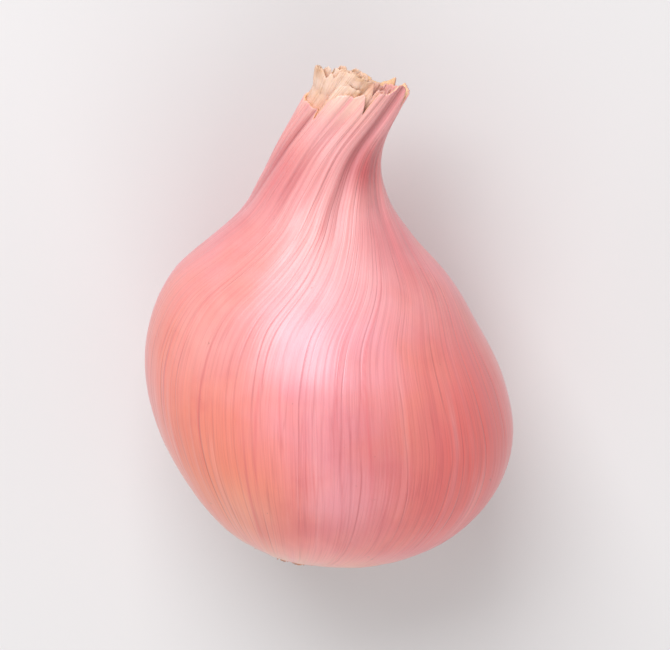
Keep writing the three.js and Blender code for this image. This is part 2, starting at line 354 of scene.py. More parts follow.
def skin_fields(along, angle):
    """The skin's fine height over its plain shape, and how much of fold, vein and torn edge."""
    waves = 0.5 * noise_field(around(angle, 3, along / 22), 1.0, 1)
    plain = skin_point(along, angle)
    dents = 0.35 * noise_field(plain, 9.0, 2) + 0.15 * noise_field(plain, 3.5, 3)
    veins = vein_field(along, angle)
    wrinkles = wrinkle_field(along, angle)
    bare = bare_field(along, angle)
    fold = np.clip(folds(along, angle) / 0.7 + 0.35 * wrinkles, 0, 1)
    puckers = np.abs(noise_field(around(angle, 7, along / 9), 1.0, 12))
    puckers = puckers * (1 - smooth(1.0, PUCKERS_END, along))
    uneven = noise_field(around(angle, 1.7, along / 6), 1.0, 14)
    uneven = uneven * (1 - smooth(ROOT_END, UNEVEN_END, along))
    height = VEIN_HEIGHT * veins - SUNK - WAVE_DEPTH * waves - DENT_DEPTH * dents
    height = height - WRINKLE_DEPTH * wrinkles - BARE_STEP * bare - PUCKER_DEPTH * puckers
    height = height + UNEVEN_RIM * uneven
    return height, fold, veins, bare


def skin_body():
    """The skin's surface, from the dimple over the body to the torn rim and into the hollow."""
    angle = np.arange(AROUND) / AROUND * TURN
    rim = torn_rim(angle)
    body = np.repeat(body_rows()[:, None], AROUND, 1)
    share = np.linspace(0, 1, NECK_ROWS + 1)[1:, None]
    neck = NECK_START + (rim - NECK_START)[None, :] * share
    along = np.concatenate([body, neck])
    angles = np.broadcast_to(angle, along.shape)
    height, fold, veins, bare = skin_fields(along, angles)
    outer = skin_point(along, angles, height)

    gathered = Body("grain", "along", "fold", "vein", "bare", "inside")
    size, sunk = DIMPLE[:, :1], DIMPLE[:, 1:]
    inner_ring = np.broadcast_to(angle, (len(DIMPLE), AROUND))
    depth = ROOT_END + sunk + 0 * inner_ring
    hollow = inner_point(depth, inner_ring, -height[0] * size**2, size, ROOT_END)
    down = rim + (HOLLOW_FLOOR - rim) * SHEATH_WALL[:, :1]
    ringed = np.broadcast_to(angle, down.shape)
    wall_height = skin_fields(down, ringed)[0] - SHEATH_WALL[:, 1:]
    wall = skin_point(down, ringed, wall_height)
    floor_ring = ringed[:len(HOLLOW_FLOOR_SHARES)]
    floor = inner_point(HOLLOW_FLOOR, floor_ring, HOLLOW_FLOOR_INSET, HOLLOW_FLOOR_SHARES)
    points = np.concatenate([hollow, outer, wall, floor])

    def spread(before, value, after):
        within = np.full((len(down) + len(floor), AROUND), after)
        return np.concatenate([np.full(hollow.shape[:2], before), value, within])

    rows = points.shape[0]
    all_along = np.concatenate([depth, along, down, np.full(floor.shape[:2], HOLLOW_FLOOR)])
    all_angles = np.broadcast_to(angle, all_along.shape)
    faces = grid_faces(rows, AROUND, True)
    last = (rows - 1) * AROUND
    faces.append(tuple(range(AROUND - 1, -1, -1)))
    faces.append(tuple(range(last, last + AROUND)))
    gathered.add(points, [face[::-1] for face in faces], grain=grain(all_along, all_angles),
                 along=all_along, fold=spread(0, fold, 0), vein=spread(0, veins, 0),
                 bare=spread(1, bare, 0), inside=spread(0, 0 * fold, 1))
    return gathered


def sheet(gathered, points, thickness, **values):
    """Adds a thin closed sheet over a grid of points, thinnest at its edges."""
    rows, columns = points.shape[:2]
    u = np.gradient(points, axis=1)
    v = np.gradient(points, axis=0)
    normal = np.cross(u, v)
    normal /= np.linalg.norm(normal, axis=-1, keepdims=True) + 1e-9
    i = np.minimum(np.arange(columns), np.arange(columns)[::-1])
    j = np.minimum(np.arange(rows), np.arange(rows)[::-1])
    edge = np.minimum(np.minimum(i[None, :], j[:, None]) / 2.0, 1)
    back = points - normal * (thickness * (0.35 + 0.65 * edge))[..., None]
    front_faces = grid_faces(rows, columns, False)
    size = rows * columns
    faces = [face[::-1] for face in front_faces]
    faces += [tuple(v + size for v in face) for face in front_faces]
    border = [j * columns for j in range(rows)]
    border += [(rows - 1) * columns + i for i in range(1, columns)]
    border += [j * columns + columns - 1 for j in range(rows - 2, -1, -1)]
    border += [i for i in range(columns - 2, 0, -1)]
    for a, b in zip(border, border[1:] + border[:1]):
        faces.append((a, b, b + size, a + size))
    both = {name: np.concatenate([value, value]) for name, value in values.items()}
    gathered.add(np.concatenate([points, back]), faces, **both)


# Dry leaf ends: the directions in degrees that each spans, how far it stands in from the skin
# in mm, its share of what is left, how far it reaches, how far its corners fall short, and its
# lean outwards.
LEAVES = [
    (88, 262, 0.5, 1.0, 53.3, 0.9, 0.1),
    (-80, 62, 0.55, 1.0, 52.2, 0.8, 0.0),
    (48, 218, 0.85, 1.0, 54.3, 1.9, 0.42),
    (246, 404, 0.9, 1.0, 52.7, 1.2, 0.15),
    (80, 176, 1.2, 0.9, 54.4, 1.5, 0.5),
    (150, 302, 1.2, 0.78, 53.9, 1.6, 0.3),
    (-12, 118, 1.2, 0.76, 53.3, 1.2, 0.15),
    (20, 160, 1.2, 0.56, 53.6, 1.4, 0.1),
    (200, 330, 1.2, 0.54, 53.2, 1.3, 0.15),
    (60, 210, 1.2, 0.34, 53.9, 1.2, 0.1),
    (225, 372, 1.2, 0.34, 53.0, 1.1, 0.05),
    (120, 290, 1.2, 0.17, 53.4, 0.9, 0.0),
    (-50, 100, 1.2, 0.16, 52.8, 0.8, 0.0),
    (30, 120, 1.2, 0.66, 53.0, 1.3, 0.2),
    (170, 250, 1.2, 0.66, 53.4, 1.5, 0.25),
    (-60, 20, 1.2, 0.6, 52.6, 1.2, 0.1),
    (110, 200, 1.2, 0.42, 53.6, 1.5, 0.2),
    (-20, 60, 1.2, 0.42, 52.9, 1.2, 0.1),
    (250, 330, 1.2, 0.26, 53.0, 1.0, 0.1),
    (60, 140, 1.2, 0.24, 53.4, 1.1, 0.1),
]
LEAF_COLUMNS, LEAF_ROWS = 72, 34
LEAF_THICKNESS = 0.14
LEAF_FOOT = 47.9
LEAF_SPLITS, LEAF_SPLIT_HALF = 3, 0.035

# Crumbled core between the leaf ends: shares of its size from its foot to its middle.
CORE_INSET = 1.7
CORE_COLUMNS = 64
CORE_TOP = 49.2
CORE_SHARES = [0.02, 0.6, 1.0, 1.0, 0.9, 0.8, 0.65, 0.5, 0.35, 0.2, 0.02]


def leaves_body():
    """The dry leaf ends: thin ribbed blades with ragged, curled ends, standing in the sheath."""
    gathered = Body("grain", "along", "rib", "tip")
    draw = random.Random(5)
    for number, (start, end, stand, share, reach, short, lean) in enumerate(LEAVES):
        across = np.linspace(0, 1, LEAF_COLUMNS)
        angle = np.radians(start + (end - start) * across)
        ring = np.stack(np.broadcast_arrays(across * 9, number * 3.0, 0.0), -1)
        ends = reach - short * np.abs(2 * across - 1) ** 2.2
        for height, size, seed in ((0.55, 1.0, 1), (0.5, 0.3, 2)):
            ends = ends - height * np.abs(noise_field(ring, size, seed))
        for _ in range(LEAF_SPLITS):
            split, depth = draw.uniform(0.12, 0.88), draw.uniform(0.6, 1.9)
            ends = ends - depth * np.clip(1 - np.abs(across - split) / LEAF_SPLIT_HALF, 0, 1)
        up = np.linspace(0, 1, LEAF_ROWS)[:, None]
        along = LEAF_FOOT + (ends - LEAF_FOOT)[None, :] * up
        angles = np.broadcast_to(angle, along.shape)
        out = lean * np.maximum(0, along - rim_at(angles) - 0.3)
        broad = across * (end - start) * share / 25
        crumple = noise_field(np.stack(np.broadcast_arrays(broad, along / 3.0, number), -1), 1.0, 6)
        ribs = 0.5 + 0.5 * np.cos(across * (end - start) * share * 0.55 + 0 * along)
        free = smooth(0.25, 1, up + 0 * along)
        height = skin_fields(along, angles)[0] + relief(along, angles)
        loose = 0.05 + 0.15 * (share < 1)
        inset = stand - height * share - out + loose * crumple * free + 0.05 * ribs
        points = inner_point(along, angles, inset, share)
        sheet(gathered, points, LEAF_THICKNESS, grain=grain(along, angles), along=along, rib=ribs,
              tip=free * smooth(0.55, 1, up + 0 * along))
    bottom = np.full((1, CORE_COLUMNS), LEAF_FOOT - 0.2)
    top = np.full((1, CORE_COLUMNS), CORE_TOP)
    angle = np.linspace(0, TURN, CORE_COLUMNS, endpoint=False)
    heights = [bottom, bottom, bottom, top - 0.5, top] + [top + 0.1 * k for k in range(1, 7)]
    along = np.concatenate(heights)
    share = np.array(CORE_SHARES)[:, None]
    ring = np.broadcast_to(angle, along.shape)
    points = inner_point(along, ring, CORE_INSET, share)
    lumps = (0.6 * noise_field(points, 0.9, 3) + 0.4 * noise_field(points, 0.35, 4))[..., None]
    lumps = lumps * np.array([0, 0.5, 0]) * (share < 1)[:, None]
    rows = len(CORE_SHARES)
    faces = [face[::-1] for face in grid_faces(rows, CORE_COLUMNS, True)]
    faces.append(tuple(range(CORE_COLUMNS)))
    faces.append(tuple(range(rows * CORE_COLUMNS - 1, (rows - 1) * CORE_COLUMNS - 1, -1)))
    gathered.add(points + lumps, faces, grain=grain(along, ring), along=along, rib=0.0, tip=0.0)
    return gathered


def tube(gathered, path, radii, sides, **values):
    """Adds a tapering tube along a path, closed at both ends."""
    path = np.asarray(path)
    ahead = np.gradient(path, axis=0)
    ahead /= np.linalg.norm(ahead, axis=1, keepdims=True)
    side = np.cross(ahead, [0.3, 0.1, 1.0])
    side /= np.linalg.norm(side, axis=1, keepdims=True)
    other = np.cross(ahead, side)
    angle = np.arange(sides) / sides * TURN
    ring = np.cos(angle)[None, :, None] * side[:, None]
    ring = ring + np.sin(angle)[None, :, None] * other[:, None]
    points = path[:, None] + ring * np.asarray(radii)[:, None, None]
    count = len(path)
    faces = grid_faces(count, sides, True)
    faces += [tuple(range(sides - 1, -1, -1)), tuple(range((count - 1) * sides, count * sides))]
    spread = {name: np.repeat(np.asarray(value, float), sides) for name, value in values.items()}
    gathered.add(points, faces, **spread)


def plate_point(height, angle, share):
    """A point of the root plate, at a height above its back and a share of its size."""
    along = ROOT_END + DIMPLE_FLOOR - PLATE_SUNK - height
    return inner_point(along, angle, PLATE_INSET, share, ROOT_END)


def plate_body():
    """The corky root plate, rough and cracked, domed in its dimple."""
    gathered = Body("rough")
    columns = PLATE_COLUMNS
    share = np.concatenate([np.linspace(0.02, 1, 30), [1.0, 1.0]])[:, None]
    height = PLATE_RISE * (1 - 0.45 * share**4)
    height[-2:, 0] = [PLATE_RISE * 0.25, 0]
    angle = np.broadcast_to(np.arange(columns) / columns * TURN, (len(share), columns))
    height = height + 0 * angle
    points = plate_point(height, angle, share)
    coarse = noise_field(points, 1.5, 1)
    fine = noise_field(points, 0.45, 2)
    rough = 0.6 * coarse + 0.4 * fine
    top = np.minimum(1, (1 - share) * 6)
    height = height + (0.28 * coarse + 0.2 * fine - 0.15) * np.clip(top, 0.15, 1)
    height[-1] = 0
    points = plate_point(height, angle, share * (1 + 0.03 * coarse))
    faces = [face[::-1] for face in grid_faces(len(share), columns, True)]
    faces.append(tuple(range(columns)))
    faces.append(tuple(range(len(share) * columns - 1, (len(share) - 1) * columns - 1, -1)))
    gathered.add(points, faces, rough=rough)
    return gathered


ROOTS = 104
ROOT_STEPS = 9
ROOT_REACH = -20.3
ROOT_SPREAD = 0.88
ROOT_RADII = [0.19, 0.24, 0.3, 0.34]
ROOT_SIDES = 8
GOLDEN_ANGLE = math.pi * (3 - math.sqrt(5))


def roots_body():
    """Trimmed roots, wiry and bent, each ending in a cut."""
    gathered = Body("end", "tone")
    draw = random.Random(19)
    t = np.linspace(0, 1, ROOT_STEPS)
    for k in range(ROOTS):
        share = ROOT_SPREAD * math.sqrt((k + 0.5) / ROOTS)
        angle = k * GOLDEN_ANGLE + draw.uniform(-0.12, 0.12)
        foot = plate_point(0.6, np.array(angle), share)
        room = foot[1] - ROOT_REACH - 0.07 * max(0, foot[2] - REST_HEIGHT)
        length = room * draw.uniform(0.55, 1.0)
        lean = share * 0.3 + draw.uniform(-0.25, 0.2)
        turned = angle + draw.uniform(-0.6, 0.6)
        bend = draw.uniform(-0.5, 0.5)
        aside = lean * length * t**1.6
        kink = 0.16 * np.sin(t * draw.uniform(3, 7) + draw.uniform(0, TURN)) * t
        x = foot[0] + aside * math.cos(turned) - kink * math.sin(turned) * bend
        z = foot[2] + aside * math.sin(turned) + kink * math.cos(turned) * bend
        y = foot[1] - length * t
        thick = draw.choice(ROOT_RADII)
        radii = thick * (1 - 0.35 * t) * (1 + 0.08 * np.sin(t * 9 + k))
        tone = np.full(ROOT_STEPS, draw.random())
        tube(gathered, np.stack([x, y, z], -1), radii, ROOT_SIDES, end=t, tone=tone)
    return gathered


FRILLS = 46
FRILL_LIMIT = -0.12
FRILL_COLUMNS, FRILL_ROWS = 26, 14
FRILL_THICKNESS = 0.06


def frills_body():
    """Ragged bits of dry skin that edge the dimple of the root plate, upright or leaning in."""
    gathered = Body("grain", "along", "rib", "tip")
    draw = random.Random(23)
    for k in range(FRILLS):
        centre = TURN * (k + draw.uniform(-0.45, 0.45)) / FRILLS
        half = draw.uniform(0.1, 0.3)
        upright = k % 2 == 0
        lean = draw.uniform(-0.07, 0.0) if upright else draw.uniform(0.05, 0.26)
        rise = draw.uniform(1.0, 1.5) if upright else draw.uniform(0.5, 0.95)
        across = np.linspace(-1, 1, FRILL_COLUMNS)[None, :]
        up = np.linspace(0, 1, FRILL_ROWS)[:, None]
        angle = centre + half * across * (1 - 0.3 * up) + 0.12 * up * draw.uniform(-1, 1)
        ring = np.stack([across * 3 + 0 * up, up * 2 + 0 * across, 0 * angle + k * 3.0], -1)
        edge = 1 - 0.5 * np.abs(noise_field(ring[:1], 1.0, 1))
        edge = edge - 0.4 * np.abs(noise_field(ring[:1], 0.25, 2))
        height = up * edge * (1 - 0.6 * across**2)
        share = 0.985 - lean * height**1.2 + 0.03 * noise_field(ring, 0.8, 3) * up
        along = ROOT_END + 0.7 - rise * height
        along = np.maximum(along, FRILL_LIMIT + 0.35 * np.sin(angle))
        lip = skin_fields(np.full(angle.shape, ROOT_END), angle)[0]
        points = inner_point(along, angle, FRILL_THICKNESS - lip, share, ROOT_END)
        sheet(gathered, points, FRILL_THICKNESS, grain=grain(along, angle), along=along,
              rib=0.5 + 0.5 * np.cos(across * 20 + 0 * up), tip=smooth(0.4, 1, up + 0 * across))
    return gathered


class Look:
    """A material made of nodes, with short calls for the nodes that it needs."""

    def __init__(self, name, **shader):
        self.material = bpy.data.materials.new(name)
        self.material.use_nodes = True
        self.tree = self.material.node_tree
        self.shader = self.tree.nodes["Principled BSDF"]
        for socket, value in shader.items():
            self.shader.inputs[socket.replace("_", " ")].default_value = value

    def node(self, kind, **settings):
        made = self.tree.nodes.new(kind)
        for name, value in settings.items():
            setattr(made, name, value)
        return made

    def join(self, source, target):
        self.tree.links.new(source, target)

    def set(self, socket, source):
        self.join(source, self.shader.inputs[socket])

    def attribute(self, name, output="Fac"):
        return self.node("ShaderNodeAttribute", attribute_name=name).outputs[output]

    def place(self):
        return self.node("ShaderNodeTexCoord").outputs["Object"]

    def stretched(self, vector, scale):
        made = self.node("ShaderNodeVectorMath", operation="MULTIPLY")
        self.join(vector, made.inputs[0])
        made.inputs[1].default_value = scale
        return made.outputs[0]

    def noise(self, vector, scale, detail=3.0, roughness=0.55):
        made = self.node("ShaderNodeTexNoise")
        self.join(vector, made.inputs["Vector"])
        made.inputs["Scale"].default_value = scale
        made.inputs["Detail"].default_value = detail
        made.inputs["Roughness"].default_value = roughness
        return made.outputs["Fac"]

    def math(self, operation, first, second, third=None):
        made = self.node("ShaderNodeMath", operation=operation)
        for socket, value in zip(made.inputs, (first, second, third)):
            if isinstance(value, (int, float)):
                socket.default_value = value
            elif value is not None:
                self.join(value, socket)
        return made.outputs[0]

    def ranged(self, value, low, high, to_low=0.0, to_high=1.0):
        made = self.node("ShaderNodeMapRange", interpolation_type="SMOOTHSTEP")
        self.join(value, made.inputs["Value"])
        limits = {"From Min": low, "From Max": high, "To Min": to_low, "To Max": to_high}
        for name, number in limits.items():
            made.inputs[name].default_value = number
        return made.outputs[0]

    def axis(self, vector, number):
        made = self.node("ShaderNodeSeparateXYZ")
        self.join(vector, made.inputs[0])
        return made.outputs[number]

    def near(self, place, middle, size, wander):
        """1 close to a middle, falling to 0 at 1.6 sizes from it, with a wandering edge."""
        made = self.node("ShaderNodeVectorMath", operation="DISTANCE")
        self.join(place, made.inputs[0])
        made.inputs[1].default_value = middle
        away = self.math("MULTIPLY_ADD", wander, size, made.outputs["Value"])
        return self.ranged(away, 0.6 * size, 1.6 * size, 1.0, 0.0)

    def line(self, value, middle, half):
        """1 where a value crosses the middle, falling to 0 within half."""
        off = self.math("ABSOLUTE", self.math("SUBTRACT", value, middle), 0.0)
        return self.ranged(off, 0.0, half, 1.0, 0.0)

    def ribs(self, vector, count, wander, half):
        """Fine lines that run along the grain, evenly spaced round it, each of its own strength."""
        angle = self.math("ARCTAN2", self.axis(vector, 1), self.axis(vector, 0))
        value = self.math("MULTIPLY_ADD", angle, count / TURN, wander)
        number = self.math("FLOORED_MODULO", self.math("FLOOR", value, 0.0), float(count))
        strength = self.node("ShaderNodeTexWhiteNoise", noise_dimensions="1D")
        self.join(number, strength.inputs["W"])
        line = self.line(self.math("FRACT", value, 0.0), 0.5, half)
        return self.math("MULTIPLY", line, self.ranged(strength.outputs["Value"], 0.1, 1.0, 0.15, 1.0))

    def mix(self, share, first, second):
        made = self.node("ShaderNodeMix", data_type="RGBA")
        for index, value in ((0, share), (6, first), (7, second)):
            if isinstance(value, (int, float, tuple)):
                made.inputs[index].default_value = value
            else:
                self.join(value, made.inputs[index])
        return made.outputs[2]

    def bump(self, height, distance, strength=1.0, normal=None):
        made = self.node("ShaderNodeBump")
        made.inputs["Strength"].default_value = strength
        made.inputs["Distance"].default_value = distance
        self.join(height, made.inputs["Height"])
        if normal is not None:
            self.join(normal, made.inputs["Normal"])
        return made.outputs[0]


def srgb(red, green, blue):
    """A colour from 0 to 255 as the shader takes it."""
    def linear(value):
        value /= 255
        return value / 12.92 if value <= 0.04045 else ((value + 0.055) / 1.055) ** 2.4
    return (linear(red), linear(green), linear(blue), 1.0)


PINK = srgb(235, 143, 147)
ROSE = srgb(212, 98, 104)
PAINTED_LIGHT_ROSY = srgb(250, 166, 168)
PEACH = srgb(238, 134, 98)
SALMON = srgb(228, 98, 88)
PAINTED_SHADE_WINE = srgb(190, 70, 72)
PAINTED_HIGHLIGHT_PALE = srgb(246, 186, 206)
MAUVE = srgb(214, 128, 138)
PAINTED_SHADE_DUSK = srgb(196, 104, 100)
CRIMSON = srgb(150, 50, 60)
BLUSH = srgb(250, 194, 192)
CREAM = srgb(252, 216, 196)
PAPER = srgb(242, 196, 166)
STRAW = srgb(236, 194, 148)
TAN = srgb(190, 140, 96)
BROWN = srgb(96, 62, 42)
CORK = srgb(204, 166, 150)
EARTH = srgb(140, 102, 90)
ASH = srgb(212, 168, 148)
LILAC = srgb(240, 212, 238)


# Broad tints of the skin, and patches of painted highlight, painted light and painted shade: middle and
# size in metres, strength and colour.
TINTS_AND_PAINTED_LIGHT = [
    ((-0.0165, -0.007, 0.026), 0.012, 0.4, PEACH),
    ((-0.010, -0.018, 0.028), 0.014, 0.95, PEACH),
    ((0.004, -0.0165, 0.034), 0.009, 0.6, MAUVE),
    # Painted highlight: pale lilac where the key light's highlight falls.
    ((-0.0022, -0.001, 0.035), 0.012, 0.5, PAINTED_HIGHLIGHT_PALE),
    # Painted highlight: widens the highlight towards the left.
    ((-0.012, -0.002, 0.031), 0.009, 0.35, BLUSH),
    ((0.0026, -0.0075, 0.0367), 0.007, 0.35, MAUVE),
    # Painted shade: darkens the lower right of the body, away from the key light.
    ((0.0085, -0.010, 0.0345), 0.009, 0.4, PAINTED_SHADE_DUSK),
    # Painted highlight: the pale glow above the highlight.
    ((-0.004, 0.008, 0.029), 0.011, 0.5, BLUSH),
    # Painted light on the upper left, the side towards the key light.
    ((-0.0136, 0.002, 0.028), 0.009, 0.1, BLUSH),
    ((0.0165, -0.006, 0.025), 0.014, 0.8, SALMON),
    ((0.015, -0.015, 0.027), 0.013, 0.75, SALMON),
    ((0.0055, 0.005, 0.028), 0.007, 0.15, BLUSH),
    ((0.0045, 0.0105, 0.0245), 0.0055, 0.45, ROSE),
    # Painted light: lightens the bottom edge, which lies in shade.
    ((0.002, -0.0235, 0.027), 0.009, 0.45, PAINTED_LIGHT_ROSY),
    ((-0.006, -0.0195, 0.031), 0.007, 0.3, PAPER),
    ((-0.0095, 0.0155, 0.024), 0.006, 0.45, ROSE),
    # Painted highlight along the middle ridge of the neck.
    ((-0.0045, 0.0205, 0.025), 0.004, 0.4, BLUSH),
    # Painted shade: wine red on the right flank of the neck, which lies in shade.
    ((0.0012, 0.0169, 0.0247), 0.0043, 0.9, PAINTED_SHADE_WINE),
    # Painted light: lightens the flap at the neck's tip, which lies in half shade.
    ((0.003, 0.0245, 0.0225), 0.0048, 0.9, PAINTED_LIGHT_ROSY),
    ((0.006, -0.012, 0.0), 0.018, 0.5, MAUVE),
    ((-0.010, 0.004, 0.004), 0.015, 0.4, ROSE),
]


# Fine veins drawn by the skin's material: how many, how far they wander and their half width.
FINE_VEINS, FINE_VEINS_WANDER, FINE_VEINS_HALF = 132, 4.0, 0.2

# Heights of the bumps in metres.
PAPER_BUMP, FIBRE_BUMP, THREAD_BUMP, CORK_BUMP, ROOT_BUMP = 0.00003, 0.00012, 0.0001, 0.00025, 0.00018


def skin_material():
    """Satin papery skin: pink with peach and mauve clouds, fine veins, folds darkened by painted shade,
    and patches of painted highlight, painted light and painted shade.
    """
    look = Look("papery_skin", Roughness=0.4, Subsurface_Weight=0.1, Subsurface_Scale=0.0012,
                Subsurface_Radius=(1.0, 0.4, 0.3), Specular_Tint=(1.0, 0.86, 0.98, 1.0),
                Coat_Weight=0.6, Coat_Roughness=0.34,
                Sheen_Weight=0.06, Sheen_Roughness=0.45, Sheen_Tint=LILAC)
    grained = look.attribute("grain", "Vector")
    along = look.attribute("along")
    fold = look.attribute("fold")
    vein = look.attribute("vein")
    bare = look.attribute("bare")
    inside = look.attribute("inside")
    here = look.place()

    clouds = look.noise(here, 62.0, 3.0)
    patches = look.noise(here, 130.0, 4.0)
    streaks = look.noise(look.stretched(grained, (7.0, 7.0, 1.1)), 1.0, 5.0, 0.6)
    threads = look.noise(look.stretched(grained, (24.0, 24.0, 1.3)), 1.0, 3.0, 0.5)
    hairs = look.noise(look.stretched(grained, (60.0, 60.0, 2.2)), 1.0, 2.0, 0.5)

    color = look.mix(look.ranged(clouds, 0.36, 0.66, 0.0, 0.55), PINK, PEACH)
    color = look.mix(look.ranged(patches, 0.46, 0.7, 0.0, 0.45), color, ROSE)
    color = look.mix(look.ranged(along, 33.0, 46.0, 0.0, 0.5), color, BLUSH)
    # Lays the tints and the patches of painted highlight, painted light and painted shade over the skin's
    # colour.
    for middle, size, share, tint in TINTS_AND_PAINTED_LIGHT:
        spread = look.math("MULTIPLY", look.near(here, middle, size, clouds), share)
        color = look.mix(spread, color, tint)
    color = look.mix(look.ranged(streaks, 0.5, 0.74, 0.0, 0.3), color, ROSE)
    color = look.mix(look.ranged(streaks, 0.28, 0.48, 0.3, 0.0), color, BLUSH)
    sway = look.noise(look.stretched(grained, (2.5, 2.5, 1.6)), 1.0, 2.0, 0.5)
    wander = look.math("MULTIPLY", sway, FINE_VEINS_WANDER)
    ribs = look.ribs(grained, FINE_VEINS, wander, FINE_VEINS_HALF)
    waning = look.noise(look.stretched(grained, (9.0, 9.0, 3.0)), 1.0, 2.0, 0.5)
    ribs = look.math("MULTIPLY", ribs, look.ranged(waning, 0.35, 0.6, 0.2, 1.0))
    color = look.mix(look.math("MULTIPLY", look.line(threads, 0.5, 0.035), 0.14), color, CRIMSON)
    color = look.mix(look.math("MULTIPLY", look.line(hairs, 0.5, 0.05), 0.08), color, CRIMSON)
    color = look.mix(look.math("MULTIPLY", ribs, 0.34), color, CRIMSON)
    color = look.mix(look.ranged(vein, 0.3, 1.0, 0.0, 0.4), color, ROSE)
    # Painted shade: darker crimson down the valleys of the neck's folds, fading out towards the body.
    deep = look.ranged(fold, 0.3, 1.0, 0.0, 0.42)
    deep = look.math("MULTIPLY", deep, look.ranged(along, 34.0, 43.0, 0.1, 1.0))
    color = look.mix(deep, color, CRIMSON)
    dry = look.math("MULTIPLY", look.ranged(along, 47.5, 52.5), look.ranged(streaks, 0.36, 0.6))
    dry = look.math("MULTIPLY", dry, look.ranged(look.axis(here, 0), 0.0, -0.003, 0.25, 1.0))
    color = look.mix(dry, color, CREAM)
    near_root = look.ranged(along, 0.8, 6.0, 0.7, 0.0)
    color = look.mix(look.math("MULTIPLY", near_root, look.ranged(streaks, 0.3, 0.62)), color, PAPER)
    weathered = look.math("MULTIPLY", bare, look.ranged(threads, 0.4, 0.56, 0.15, 0.5))
    color = look.mix(weathered, color, CREAM)
    specks = look.noise(here, 900.0, 2.0)
    spotted = look.math("MULTIPLY", look.ranged(specks, 0.72, 0.78), look.ranged(patches, 0.5, 0.6))
    color = look.mix(look.math("MULTIPLY", spotted, 0.5), color, BROWN)
    color = look.mix(inside, color, STRAW)
    look.set("Base Color", color)

    rough = look.math("MULTIPLY_ADD", streaks, 0.22, 0.27)
    rough = look.math("MULTIPLY_ADD", fold, 0.16, rough)
    look.set("Roughness", look.math("MULTIPLY_ADD", bare, 0.15, rough))

    fibres = look.math("MULTIPLY_ADD", hairs, 0.5, look.math("MULTIPLY_ADD", ribs, 0.6, threads))
    paper = look.noise(here, 1500.0, 3.0)
    normal = look.bump(paper, PAPER_BUMP, 0.35, look.bump(fibres, FIBRE_BUMP, 0.55))
    look.set("Normal", normal)
    look.set("Coat Normal", look.bump(fibres, FIBRE_BUMP, 0.45))
    return look.material


def dry_leaf_material():
    """Dry leaf: cream with paler ribs, tan towards the torn ends, and pinker on the right."""
    look = Look("dry_leaf", Roughness=0.6, Subsurface_Weight=0.15, Subsurface_Scale=0.0008,
                Subsurface_Radius=(1.0, 0.6, 0.35), Sheen_Weight=0.1, Sheen_Roughness=0.5)
    grained = look.attribute("grain", "Vector")
    rib = look.attribute("rib")
    tip = look.attribute("tip")
    here = look.place()
    fibres = look.noise(look.stretched(grained, (42.0, 42.0, 3.0)), 1.0, 4.0, 0.6)
    clouds = look.noise(here, 420.0, 3.0)
    color = look.mix(look.ranged(clouds, 0.38, 0.64), CREAM, PAPER)
    color = look.mix(look.ranged(fibres, 0.48, 0.7, 0.0, 0.6), color, TAN)
    color = look.mix(look.math("MULTIPLY", rib, 0.35), color, CREAM)
    color = look.mix(look.math("MULTIPLY", tip, look.ranged(clouds, 0.42, 0.7, 0.1, 0.7)), color, TAN)
    blushed = look.math("MULTIPLY", look.ranged(look.attribute("along"), 52.5, 47.5), 0.4)
    color = look.mix(blushed, color, ROSE)
    pinker = look.ranged(look.axis(here, 0), -0.0018, 0.0008, 0.0, 0.75)
    color = look.mix(pinker, color, BLUSH)
    color = look.mix(look.math("MULTIPLY", look.math("MULTIPLY", pinker, fibres), 0.6), color, ROSE)
    look.set("Base Color", color)
    look.set("Roughness", look.math("MULTIPLY_ADD", fibres, 0.3, 0.42))
    height = look.math("MULTIPLY_ADD", rib, 0.4, fibres)
    look.set("Normal", look.bump(height, FIBRE_BUMP, 0.7))
    return look.material


def loose_skin_material():
    """Loose dry skin: thinner and paler than the skin below it."""
    look = Look("loose_skin", Roughness=0.5, Subsurface_Weight=0.2, Subsurface_Scale=0.0008,
                Subsurface_Radius=(1.0, 0.6, 0.4), Sheen_Weight=0.15, Sheen_Roughness=0.4)
    grained = look.attribute("grain", "Vector")
    tip = look.attribute("tip")
    here = look.place()
    threads = look.noise(look.stretched(grained, (24.0, 24.0, 1.3)), 1.0, 3.0, 0.5)
    clouds = look.noise(here, 260.0, 3.0)
    color = look.mix(look.ranged(clouds, 0.35, 0.65), BLUSH, STRAW)
    color = look.mix(look.math("MULTIPLY", look.line(threads, 0.5, 0.05), 0.35), color, ROSE)
    color = look.mix(look.math("MULTIPLY", tip, 0.35), color, TAN)
    look.set("Base Color", color)
    look.set("Roughness", look.math("MULTIPLY_ADD", clouds, 0.3, 0.32))
    look.set("Normal", look.bump(threads, THREAD_BUMP, 0.5))
    return look.material


def cork_material():
    """Corky root plate: grey-brown, paler on its lumps and darkest in its cracks."""
    look = Look("root_cork", Roughness=0.9)
    rough = look.attribute("rough")
    here = look.place()
    crumbs = look.noise(here, 1500.0, 5.0, 0.65)
    color = look.mix(look.ranged(rough, -0.25, 0.3), EARTH, CORK)
    color = look.mix(look.ranged(crumbs, 0.5, 0.7, 0.0, 0.6), color, PAPER)
    color = look.mix(look.ranged(crumbs, 0.3, 0.45, 0.7, 0.0), color, EARTH)
    look.set("Base Color", color)
    look.set("Roughness", look.ranged(crumbs, 0.3, 0.7, 0.75, 0.95))
    look.set("Normal", look.bump(crumbs, CORK_BUMP, 0.8))
    return look.material


